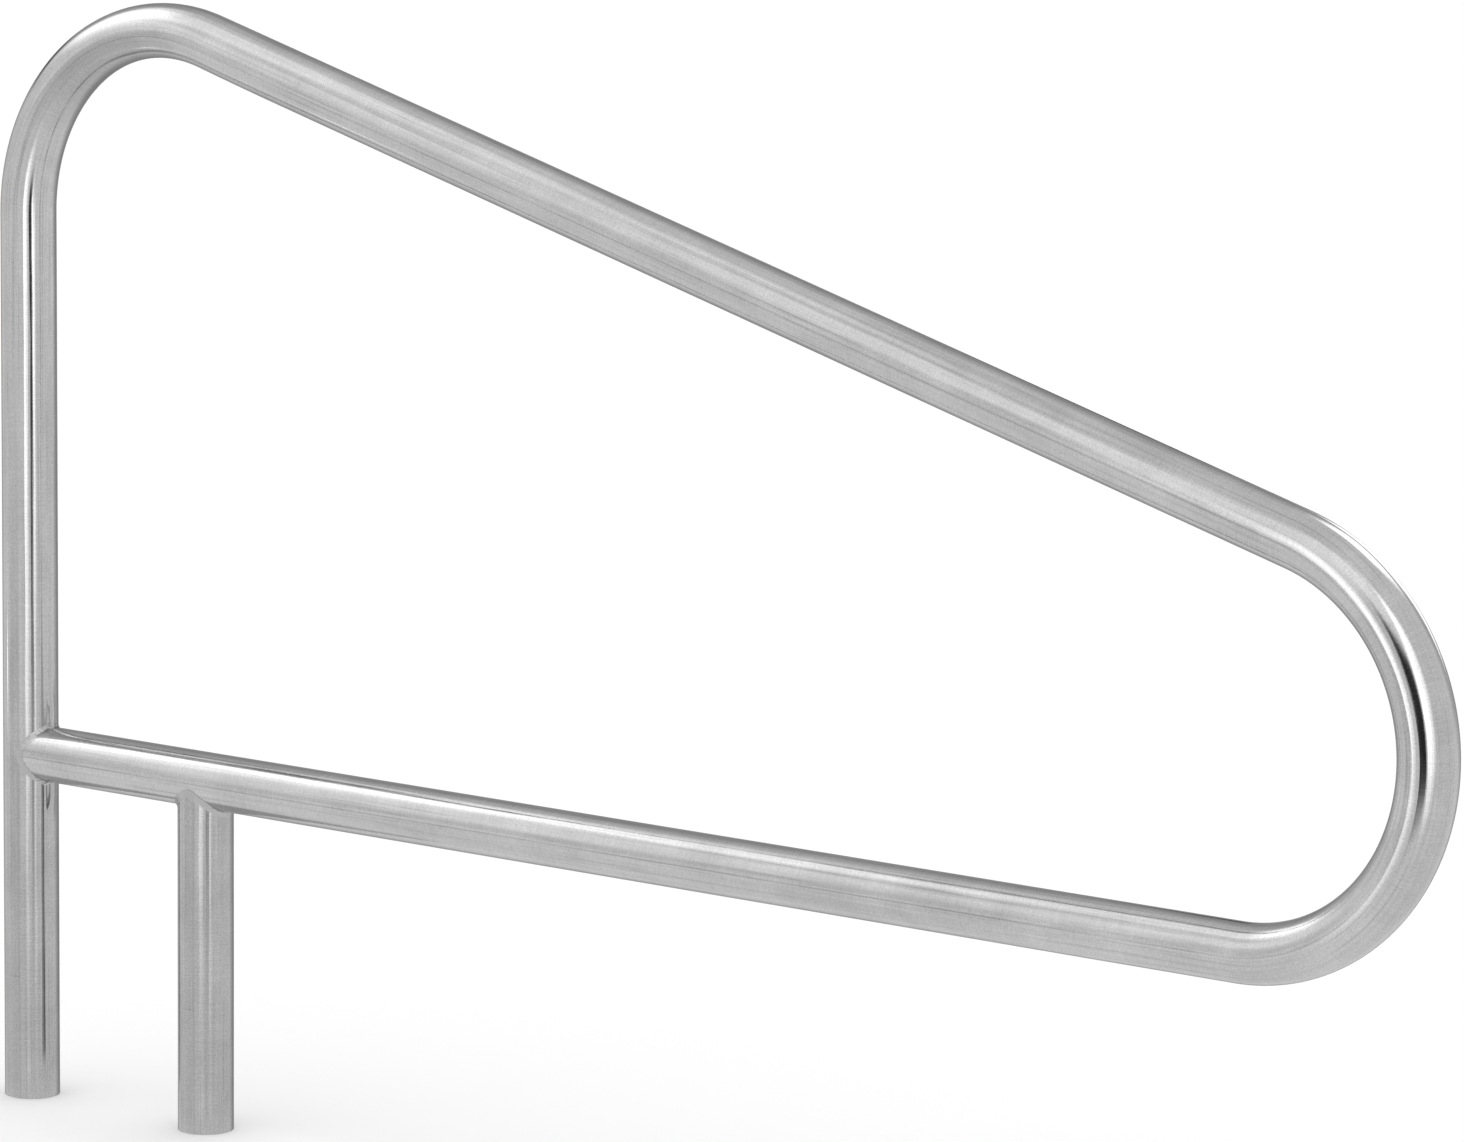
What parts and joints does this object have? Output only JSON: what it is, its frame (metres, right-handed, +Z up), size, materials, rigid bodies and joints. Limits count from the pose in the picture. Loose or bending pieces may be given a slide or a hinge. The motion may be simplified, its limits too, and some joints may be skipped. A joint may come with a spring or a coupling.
{
  "type": "pool handrail",
  "caption": "Bent stainless tube handrail for pool steps: sloping loop on a tall rear post with a short front post, both cut square for deck sockets.",
  "frame": {"origin": "centre of the rear post's cut end, at the bottom of the rail; both post ends lie in the plane Z = 0", "axes": "+Z up the posts, +X from the rear post to the nose of the loop, +Y across the rail's plane"},
  "size_m": [1.4732, 0.05, 0.9652],
  "materials": {
    "brushed_tube_steel": "fine lengthwise grain, brushed then lightly buffed",
    "brushed_post_steel": "fine lengthwise grain, lightly buffed",
    "polished_weld_steel": "ground and polished bead"
  },
  "bodies": {
    "root": {"handrail_tube": "brushed_tube_steel", "front_post": "brushed_post_steel", "rear_joint_weld": "polished_weld_steel", "front_post_weld": "polished_weld_steel"}
  },
  "joints": []
}
